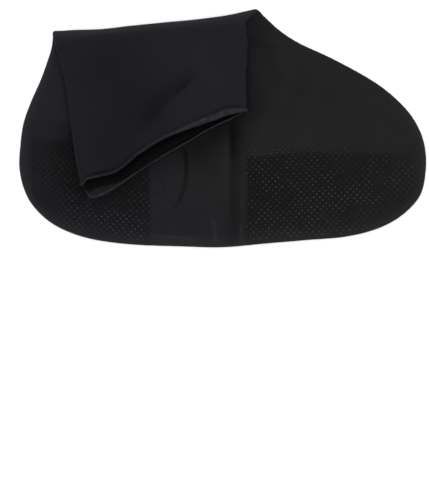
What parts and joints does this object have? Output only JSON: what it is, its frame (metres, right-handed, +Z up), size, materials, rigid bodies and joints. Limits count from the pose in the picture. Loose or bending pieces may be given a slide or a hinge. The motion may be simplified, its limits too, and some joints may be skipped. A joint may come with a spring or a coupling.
{
  "type": "overshoe",
  "caption": "Waterproof overshoe of thin moulded rubber, lying on its side, with a studded sole and its beaded ankle cuff turned down over the foot.",
  "frame": {"origin": "under the middle of the overshoe's box, on the surface that it lies on", "axes": "+X from the heel to the toe, +Y from the sole edge to the ankle fold, +Z up from the surface, out of the near wall and the turned-down cuff"},
  "size_m": [0.2598, 0.152, 0.0181],
  "materials": {
    "rubber": "matte black moulded rubber"
  },
  "bodies": {
    "root": {"overshoe": "rubber"}
  },
  "joints": []
}
